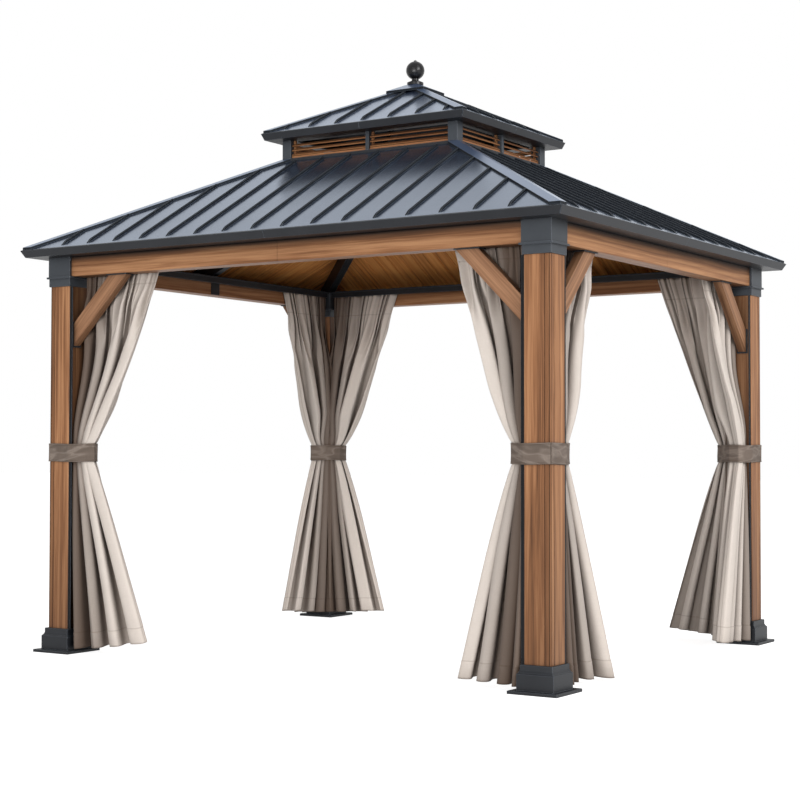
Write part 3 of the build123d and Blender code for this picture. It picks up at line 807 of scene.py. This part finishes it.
@dataclass
class Curtain:
    """One panel: gathered along its header, drawn to the post by the tie, loose below it."""
    top_spread: float
    waist_spread: float
    hem_spread: float
    hem_lift: float
    flare: float
    opening: float
    rng: random.Random

    def levels(self):
        """Heights of the cloth's rows, closer together where the folds turn quickly."""
        stops = [
            (rail_under - RAIL_GAP, 8),
            (TAPE_LEVEL + TAPE_BAND, 10),
            (TAPE_LEVEL - TAPE_BAND, 10),
            (TAPE_LEVEL - HEADER_BAND, 18),
            (tie_high + TIE_BAND, 11),
            (tie_high, 5),
            (tie_low, 11),
            (tie_low - TIE_BAND, 20),
            (SEAM_LEVEL + SEAM_BAND, 8),
            (SEAM_LEVEL - SEAM_BAND, 7),
            (hem_level, 1),
        ]
        heights = []
        for (start, steps), (end, _) in zip(stops, stops[1:]):
            heights.extend(np.linspace(start, end, steps, endpoint=False))
        heights.append(hem_level)
        return np.array(heights)[:, None]

    def wander(self, values, terms, size):
        """A smooth random curve along the values, of about the given size."""
        total = np.zeros_like(values)
        for term in range(1, terms + 1):
            phase = self.rng.uniform(0, TURN)
            weight = self.rng.uniform(*WANDER_WEIGHTS) / term ** WANDER_DECAY
            total = total + weight * np.sin(TURN * term * values + phase)
        return size * total

    def fold_turns(self, z, t):
        """The phases of the large folds, the header's ruffles and the creases at the tie."""
        held = np.sin(math.pi * t)
        place = t ** FOLD_CROWDING + self.wander(t, 3, FOLD_DRIFT) * held
        sway = self.wander(z * SWAYS_PER_M, 3, FOLD_SWAY) * held
        folds = math.pi / 2 + TURN * FOLDS * place + sway
        ruffles = TURN * RUFFLES * (t + self.wander(t, 6, RUFFLE_DRIFT))
        ruffles = ruffles + self.wander(t + z, 3, RUFFLE_SWAY)
        creases = TURN * CREASES * (t + self.wander(t, 6, CREASE_DRIFT))
        return folds, ruffles, creases

    def envelope(self, z, t, above, below):
        """How far the folds reach out of the wall and into the room, clear of braces and beams."""
        beside_post = np.exp(-(t / BESIDE_POST) ** 2)
        opened = below ** HEM_REACH_POWER
        outer = BRACE_SETBACK * smooth_step(z, *BRACE_LEVELS) - OUTER_REACH
        outer = outer + BEAM_SETBACK * smooth_step(z, *BEAM_LEVELS)
        outer = outer - OUTER_HEM_GROWTH * opened * beside_post
        outer = outer - self.flare * below * smooth_step(t, FLARE_FROM, 1.0)
        waist, hem = [reach + more * beside_post for reach, more in (WAIST_REACH, HEM_REACH)]
        inner = waist + (OPEN_REACH - waist) * smooth_step(above, 0.0, OPEN_REACH_FULL)
        drawn_in = smooth_step(z, TAPE_LEVEL - HEADER_RUN, TAPE_LEVEL)
        inner = inner - (OPEN_REACH - HEADER_REACH) * drawn_in
        return outer, inner + (hem - waist) * opened

    def run_along(self, t, above, below, header, folds, ruffles):
        """Distance from the post along the wall, where the folds take up the cloth's whole width."""
        start = POST_GAP + RAIL_GAP_GROWTH * smooth_step(above, 0.0, RAIL_GAP_FULL)
        start = start + HEM_GAP_GROWTH * below ** HEM_GAP_POWER
        end = self.waist_spread + (self.top_spread - self.waist_spread) * above ** self.opening
        end = end + (self.hem_spread - self.waist_spread) * below ** HEM_OPENING
        ruffle_swing = RUFFLE_SWING * header
        ratio = (end - start) / CLOTH_WIDTH
        swing = swing_for(np.clip(ratio / bessel(ruffle_swing), *WIDTH_SHARES))
        swing = np.minimum(swing * (1 + self.wander(t, 5, SWING_DRIFT)), SWING_LIMIT)
        angle = -swing * np.cos(folds) - ruffle_swing * np.cos(ruffles)
        steps = np.cos((angle[:, 1:] + angle[:, :-1]) / 2)
        along = np.concatenate([np.zeros((len(header), 1)), np.cumsum(steps, 1)], 1)
        return start + (end - start) * along / along[:, -1:]

    def depth_inward(self, z, t, envelope, header, folds, ruffles, creases):
        """Distance from the wall's middle into the room, between the two sides of the envelope."""
        outer, inner = envelope
        dips = np.abs(np.sin(self.wander(t * FOLD_DIPS, 4, FOLD_DIP_SIZE)))
        uneven = 1 - FOLD_DIP_DEPTH * smooth_step(t, *FOLD_DIP_FROM) * dips
        share = (1 + uneven * np.sin(folds)) / 2
        share = share + ((1 + np.sin(ruffles)) / 2 - share) * RUFFLE_SHARE * header
        near_tie = np.exp(-np.abs(z - tie_middle) / CREASE_RUN)
        inward = outer + (inner - outer) * share + CREASE_DEPTH * near_tie * np.sin(creases)
        hanging = smooth_step(z, tie_high, tie_high + SWING_RISE)
        hanging = hanging * smooth_step(-z, -TAPE_LEVEL, -TAPE_LEVEL + SWING_FALL)
        return inward - FREE_EDGE_SWING * hanging * smooth_step(t, FREE_EDGE_FROM, 1.0)

    def sewing(self, z, t):
        """Puckers along the tape and the hem's seam, and the step of the doubled hem."""
        puckers = self.wander(t * PUCKER_REPEATS, 3, PUCKER_DEPTH)
        at_tape = np.exp(-((z - TAPE_LEVEL) / TAPE_PUCKER_HALF) ** 2)
        at_seam = np.exp(-((z - SEAM_LEVEL) / SEAM_PUCKER_HALF) ** 2)
        doubled = smooth_step(-z, -SEAM_LEVEL - HEM_STEP_HALF, -SEAM_LEVEL + HEM_STEP_HALF)
        return puckers * (at_tape + SEAM_PUCKER_SHARE * at_seam) - HEM_STEP * doubled

    def points(self):
        """Grids of places along the wall, inward and in height, and of cloth coordinates."""
        z = self.levels()
        t = np.linspace(0.0, 1.0, CLOTH_COLUMNS)[None, :]
        above = np.clip((z - tie_high) / (rail_under - tie_high), 0.0, 1.0)
        below = np.clip((tie_low - z) / (tie_low - hem_level), 0.0, 1.0)
        header = smooth_step(z, TAPE_LEVEL - HEADER_RUN, TAPE_LEVEL - TAPE_HALF)
        folds, ruffles, creases = self.fold_turns(z, t)
        along = self.run_along(t, above, below, header, folds, ruffles)
        envelope = self.envelope(z, t, above, below)
        inward = self.depth_inward(z, t, envelope, header, folds, ruffles, creases)
        inward = inward + self.sewing(z, t)
        along = self.beside_post(z, t, along, inward)
        lift = self.hem_lift * t ** LIFT_ACROSS_POWER * below ** LIFT_DOWN_POWER
        scallop = (1 + np.sin(folds)) * SCALLOP * smooth_step(below, SCALLOP_FROM, 1.0)
        cloth = np.stack(np.broadcast_arrays(t * CLOTH_WIDTH, z - hem_level), -1)
        return along, inward, z + lift + scallop, cloth

    def beside_post(self, z, t, along, inward):
        """Keeps the cloth off the post's face, its edge strip and the foot cover."""
        cover = (FOOT_HALF - post_half) * smooth_step(-z, -foot_top - FOOT_CLEARANCE, -foot_top)
        layers = LAYER_GAP + LAYER_SPREAD * t
        in_reach = inward < post_half + cover + LAYER_GAP
        along = np.where(in_reach, np.maximum(along, cover + layers), along)
        return np.where(inward < STRIP_EDGE, np.maximum(along, STRIP_REACH + layers), along)

    def hang(self, corner, wall):
        """Makes the panel at a corner, and gives its points under the tie, from the post's middle."""
        side_x, side_y = CORNERS[corner]
        along, inward, height, cloth = self.points()
        off_middle = (along + post_half, inward)
        from_x, from_y = off_middle if wall in ("front", "back") else off_middle[::-1]
        x = side_x * (post_x - from_x)
        y = side_y * (post_y - from_y)
        vertices = np.stack([x, y, height], -1).reshape(-1, 3)
        piece = new_object(
            f"curtain_{corner}_{wall}", vertices, grid_faces(*height.shape),
            curtain_cloths[corner], cloth.reshape(-1, 2),
        )
        thicken(piece, CLOTH_THICKNESS)
        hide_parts(f"curtains_{corner}")
        tied = (height <= tie_high) & (height >= tie_low)
        return list(zip(from_x[tied].tolist(), from_y[tied].tolist()))


BESSEL_TERMS = 11
WIDEST_SWING = 2.3
SWING_HALVINGS = 30


def bessel(angle):
    """Share of the cloth's width that is left when its heading swings by that angle."""
    total = np.zeros_like(angle)
    term = np.ones_like(angle)
    for power in range(1, BESSEL_TERMS + 1):
        total = total + term
        term = -term * (angle / 2) ** 2 / power ** 2
    return total


def swing_for(share):
    """The swing of the heading that leaves that share of the cloth's width."""
    low = np.zeros_like(share)
    high = np.full_like(share, WIDEST_SWING)
    for _ in range(SWING_HALVINGS):
        middle = (low + high) / 2
        wider = bessel(middle) > share
        low = np.where(wider, middle, low)
        high = np.where(wider, high, middle)
    return (low + high) / 2


# Each panel's spread at its header, tie and hem, its free corner's lift, its outward flare, and how it
# opens from its tie to its header: under one it bulges, at one its free edge is straight
PANELS = {
    ("front_left", "front"): (0.595, 0.132, 0.530, 0.055, 0.0, 0.80),
    ("front_left", "left"): (0.500, 0.080, 0.450, 0.0, 0.04, 0.80),
    ("front_right", "front"): (0.467, 0.080, 0.385, 0.010, 0.0, 0.87),
    ("front_right", "right"): (0.560, 0.104, 0.525, -0.014, 0.06, 0.87),
    ("back_right", "back"): (0.465, 0.092, 0.420, 0.030, 0.0, 0.92),
    ("back_right", "right"): (0.500, 0.080, 0.410, 0.015, 0.03, 0.92),
    ("back_left", "back"): (0.540, 0.060, 0.390, 0.025, 0.0, 0.84),
    ("back_left", "left"): (0.490, 0.056, 0.400, 0.04, 0.0, 0.84),
}
waists = {corner: [] for corner in CORNERS}
for (corner, wall), shape in PANELS.items():
    drape = Curtain(*shape, random.Random(f"{corner} {wall}"))
    waists[corner] += drape.hang(corner, wall)


# Tie bands

TIE_CLEARANCE = 5 * MM
TIE_THICKNESS = 2.5 * MM
TIE_COLUMNS = 320
TIE_ROWS = 15
TIE_EASINGS = 2
TIE_RIPPLES = 7
TIE_RIPPLE_WAVES = (2, 13)
TIE_RIPPLE_SLANT = 5
TIE_RIPPLE_HEIGHT = 3 * MM
TIE_RIPPLE_FADE = 0.8
TIE_ROLL = 0.9 * MM
TIE_ROLL_PLACE = (0.38, 0.46)
TIE_SAG = 1.5 * MM
TIE_SAGS = 3
TIE_SAG_PHASE = 6
TIE_SLACK = 3 * MM


def hull(points):
    """The convex outline of flat points, counter-clockwise."""
    ordered = sorted(set(points))
    chains = []
    for sequence in (ordered, ordered[::-1]):
        chain = []
        for point in sequence:
            while len(chain) > 1 and turn_left(chain[-2], chain[-1], point) <= 0:
                chain.pop()
            chain.append(point)
        chains.extend(chain[:-1])
    return chains


def turn_left(first, second, third):
    """Above zero where the path through the points turns left."""
    ahead = (second[0] - first[0]) * (third[1] - first[1])
    return ahead - (second[1] - first[1]) * (third[0] - first[0])


def resampled(outline, count):
    """Evenly spaced points round a closed outline, and its length."""
    closed = np.array(outline + outline[:1])
    steps = np.linalg.norm(np.diff(closed, axis=0), axis=1)
    travel = np.concatenate([[0], np.cumsum(steps)])
    marks = np.linspace(0, travel[-1], count, endpoint=False)
    return np.stack([np.interp(marks, travel, side) for side in closed.T], -1), travel[-1]


def tie_path(corner):
    """Points round the post and its gathered curtains, their outward directions and the girth."""
    square = [(a * post_half, b * post_half) for a in (-1, 1) for b in (-1, 1)]
    strip = (post_half + STRIP_REACH, -strip_setback)
    outline = hull(square + [strip, strip[::-1]] + waists[corner])
    path, girth = resampled(outline, TIE_COLUMNS)
    for _ in range(TIE_EASINGS):
        path = (np.roll(path, 1, 0) + 2 * path + np.roll(path, -1, 0)) / 4
    ahead = np.roll(path, -1, 0) - np.roll(path, 1, 0)
    ahead /= np.linalg.norm(ahead, axis=1)[:, None]
    return path, np.stack([ahead[:, 1], -ahead[:, 0]], -1), girth


def tie_band(corner, seed):
    """A flat sewn strap round the post and its two gathered curtains."""
    rng = random.Random(seed)
    path, outward, girth = tie_path(corner)
    s = np.linspace(0, 1, TIE_COLUMNS, endpoint=False)[None, :]
    level = np.linspace(-0.5, 0.5, TIE_ROWS)[:, None]
    ripple = np.zeros((TIE_ROWS, TIE_COLUMNS))
    for _ in range(TIE_RIPPLES):
        waves = rng.randint(*TIE_RIPPLE_WAVES)
        slant = rng.uniform(-TIE_RIPPLE_SLANT, TIE_RIPPLE_SLANT)
        phase = rng.uniform(0, TURN)
        ripple += np.sin(TURN * waves * s + slant * level + phase) / TIE_RIPPLES
    ripple = TIE_RIPPLE_HEIGHT * ripple * np.cos(math.pi * level * TIE_RIPPLE_FADE)
    rolled = TIE_ROLL * smooth_step(np.abs(level), *TIE_ROLL_PLACE)
    offset = TIE_CLEARANCE + ripple + rolled
    sag = TIE_SAG * np.sin(TURN * TIE_SAGS * s + rng.uniform(0, TIE_SAG_PHASE))
    side_x, side_y = CORNERS[corner]
    x = side_x * (post_x - (path[:, 0] + outward[:, 0] * offset))
    y = side_y * (post_y - (path[:, 1] + outward[:, 1] * offset))
    z = tie_middle + level * (tie_height - TIE_SLACK) + sag
    vertices = np.stack([x, y, z], -1).reshape(-1, 3)
    cloth = np.stack(np.broadcast_arrays(s * girth, level * tie_height), -1)
    piece = new_object(
        f"tie_band_{corner}", vertices, grid_faces(TIE_ROWS, TIE_COLUMNS, closed=True),
        tie_cloth, cloth.reshape(-1, 2),
    )
    thicken(piece, TIE_THICKNESS)
    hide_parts("tie_bands")


for corner in CORNERS:
    tie_band(corner, f"tie {corner}")


# Ceiling boards

BOARD_WIDTH = 96 * MM
BOARD_GAP = 3 * MM
BOARD_CHAMFER = 3.5 * MM
BOARD_THICKNESS = 14 * MM
# Depth of each ring of a board's corners above its face, and how far the ring is drawn in
BOARD_RINGS = ((0.0, BOARD_CHAMFER), (BOARD_CHAMFER, 0.0), (BOARD_THICKNESS, 0.0))
BOARD_GRAIN_SHIFT = 50
BOARD_COLOURS = (linear(140, 84, 38), linear(206, 134, 70), linear(228, 162, 94))
BOARD_TONES = (0.84, 1.08)
BOARD_PORE_DEPTH = 0.3 * MM
BOARD_ROUGHNESS = (0.5, 0.66)
UNDERSIDE = -0.5
CORNER_DIGITS = 5


def ceiling_slopes():
    """The lower left, lower right and upper left corners of each sloping underside."""
    mesh = nodes["ceiling_panels"].data
    groups = {}
    for face in mesh.polygons:
        if face.normal.z < UNDERSIDE:
            key = (round(face.normal.x, 1), round(face.normal.y, 1))
            corners = groups.setdefault(key, set())
            for index in face.vertices:
                corners.add(tuple(round(c, CORNER_DIGITS) for c in mesh.vertices[index].co))
    for key, corners in groups.items():
        out = Vector((-key[0], -key[1], 0)).normalized()
        side = Vector((-out.y, out.x, 0))
        by_height = sorted(corners, key=lambda c: c[2])
        low = sorted(map(Vector, by_height[:2]), key=side.dot)
        high = sorted(map(Vector, by_height[2:]), key=side.dot)
        yield low[0], low[1], high[0]


def board_outline(left, right, width, setback, length):
    """A board's corners as (across, up) on a slope whose two ends draw in by the setback."""
    knees = [knee for knee in (setback, width - setback) if left < knee < right]
    outline = [(left, 0.0), (right, 0.0)]
    for c in sorted([left, right, *knees], reverse=True):
        outline.append((c, length * min(1.0, c / setback, (width - c) / setback)))
    return outline


def board_faces(base, count):
    """Faces of a closed board with three rings of corners, numbered from the base."""
    ring = range(count)
    faces = [tuple(base + i for i in ring)[::-1], tuple(base + 2 * count + i for i in ring)]
    for first in (base, base + count):
        for i in ring:
            j = (i + 1) % count
            faces.append((first + i, first + j, first + count + j, first + count + i))
    return faces


def ceiling_boards(material):
    """Chamfered boards up each slope, with small gaps between them."""
    vertices, faces, uvs, tones = [], [], [], []
    rng = random.Random("boards")
    for low_left, low_right, high_left in ceiling_slopes():
        across = (low_right - low_left).normalized()
        width = (low_right - low_left).length
        rise = high_left - low_left
        setback = rise.dot(across)
        up = rise - across * setback
        length = up.length
        up = up / length
        normal = across.cross(up)
        count = round(width / BOARD_WIDTH)
        pitch = width / count
        for board in range(count):
            left = board * pitch + BOARD_GAP / 2
            right = (board + 1) * pitch - BOARD_GAP / 2
            middle = (left + right) / 2
            outline = board_outline(left, right, width, setback, length)
            faces += board_faces(len(vertices), len(outline))
            shift = rng.uniform(0, BOARD_GRAIN_SHIFT)
            tone = rng.random()
            for depth, inset in BOARD_RINGS:
                for c, s in outline:
                    near = c + math.copysign(min(inset, abs(middle - c)), middle - c)
                    vertices.append(low_left + across * near + up * s + normal * depth)
                    uvs.append((c + shift, s + shift))
                    tones.append(tone)
    piece = new_object("ceiling_boards", vertices, faces, material, uvs, smooth=False)
    attribute = piece.data.attributes.new("board_tone", "FLOAT", "POINT")
    attribute.data.foreach_set("value", tones)
    mesh_tools = bmesh.new()
    mesh_tools.from_mesh(piece.data)
    bmesh.ops.recalc_face_normals(mesh_tools, faces=mesh_tools.faces)
    mesh_tools.to_mesh(piece.data)
    mesh_tools.free()
    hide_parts("ceiling_panels")


def board_finish():
    """Stained boards, each of its own tone, with grain along the board."""
    graph = Graph("ceiling_board_stain")
    across, along, _ = graph.split(graph.place("UV"))
    colour, pores, streaks = wood_colour(graph, graph.join(across, 0.0, along), BOARD_COLOURS)
    tone = graph.add("ShaderNodeAttribute", attribute_name="board_tone").outputs["Fac"]
    shade = graph.level(tone, *BOARD_TONES)
    tint = graph.add("ShaderNodeCombineColor", {"Red": shade, "Green": shade, "Blue": shade})
    colour = graph.mix(1.0, colour, tint.outputs[0], blend="MULTIPLY")
    normal = graph.bump(pores, BOARD_PORE_DEPTH, strength=0.5)
    roughness = graph.level(streaks, *BOARD_ROUGHNESS)
    shader = graph.principled(
        Base_Color=colour, Roughness=roughness, Normal=normal, Specular_IOR_Level=0.3
    )
    return graph.surface(shader)


ceiling_boards(board_finish())


# Stage, light and camera

FLOOR_REACH = 60.0
FLOOR_SHADE = (0.6, 0.6, 0.6, 1)
FLOOR_GLOW = 0.86
WORLD_LEVEL = 0.42
# Each lamp is a flat panel with a power, a place, a width and height, and a point that it faces
LAMPS = {
    "key": (3700.0, Vector((19.8, -5.7, 9.8)), (11.0, 11.0), Vector((0.0, 0.0, 1.4))),
    "low_front": (3600.0, Vector((6.0, -22.0, 2.4)), (12.0, 4.0), Vector((0.0, 0.2, 2.0))),
}
CAMERA_PLACE = (5.3788, -8.5357, 1.1470)
CAMERA_AZIMUTH = math.radians(32.717)
CAMERA_PITCH = math.radians(1.747)
CAMERA_ROLL = math.radians(0.090)
FOCAL_PIXELS = 1703.3
PHOTO_PIXELS = 800
SENSOR_MM = 36


def background_ray(graph):
    """One for the rays that see the plain background: camera, glossy and transmission rays."""
    rays = graph.add("ShaderNodeLightPath").outputs
    direct = graph.math("MAXIMUM", rays["Is Camera Ray"], rays["Is Glossy Ray"])
    return graph.math("MAXIMUM", direct, rays["Is Transmission Ray"])


def make_world():
    """A white background that lights the object less than it shows."""
    graph = Graph("studio", "worlds")
    strength = graph.level(background_ray(graph), WORLD_LEVEL, 1.0)
    light = graph.add("ShaderNodeBackground", {"Color": WHITE, "Strength": strength})
    bpy.context.scene.world = graph.surface(light.outputs[0], "ShaderNodeOutputWorld")


def make_floor():
    """A wide sheet of white paper that keeps only faint shadows."""
    graph = Graph("floor_paper")
    soft = graph.add("ShaderNodeBsdfDiffuse", {"Color": FLOOR_SHADE})
    strength = graph.times(background_ray(graph), FLOOR_GLOW)
    glow = graph.add("ShaderNodeEmission", {"Color": WHITE, "Strength": strength})
    both = graph.add("ShaderNodeAddShader", {0: soft.outputs[0], 1: glow.outputs[0]})
    mesh = bpy.data.meshes.new("floor")
    corners = [(side_x * FLOOR_REACH, side_y * FLOOR_REACH, 0) for side_x, side_y in CORNERS.values()]
    mesh.from_pydata(corners, [], [(0, 1, 2, 3)])
    mesh.materials.append(graph.surface(both.outputs[0]))
    floor = linked("floor", mesh)


def make_lamps():
    for name, (power, place, (width, height), target) in LAMPS.items():
        light = bpy.data.lights.new(name, "AREA")
        light.shape = "RECTANGLE"
        light.energy = power
        light.size = width
        light.size_y = height
        lamp = linked(name, light)
        lamp.location = place
        lamp.rotation_euler = (target - place).to_track_quat("-Z", "Y").to_euler()


def make_camera():
    """The camera that was fitted to the photo, with its focal length given in pixels."""
    data = bpy.data.cameras.new("camera")
    data.sensor_width = SENSOR_MM
    data.lens = FOCAL_PIXELS * SENSOR_MM / PHOTO_PIXELS
    camera = linked("camera", data)
    turn = Matrix.Rotation(CAMERA_AZIMUTH, 4, "Z")
    tilt = Matrix.Rotation(math.pi / 2 + CAMERA_PITCH, 4, "X")
    roll = Matrix.Rotation(CAMERA_ROLL, 4, "Z")
    camera.matrix_world = Matrix.Translation(CAMERA_PLACE) @ turn @ tilt @ roll
    bpy.context.scene.camera = camera


make_world()
make_floor()
make_lamps()
make_camera()
bpy.context.scene.view_settings.view_transform = "Standard"
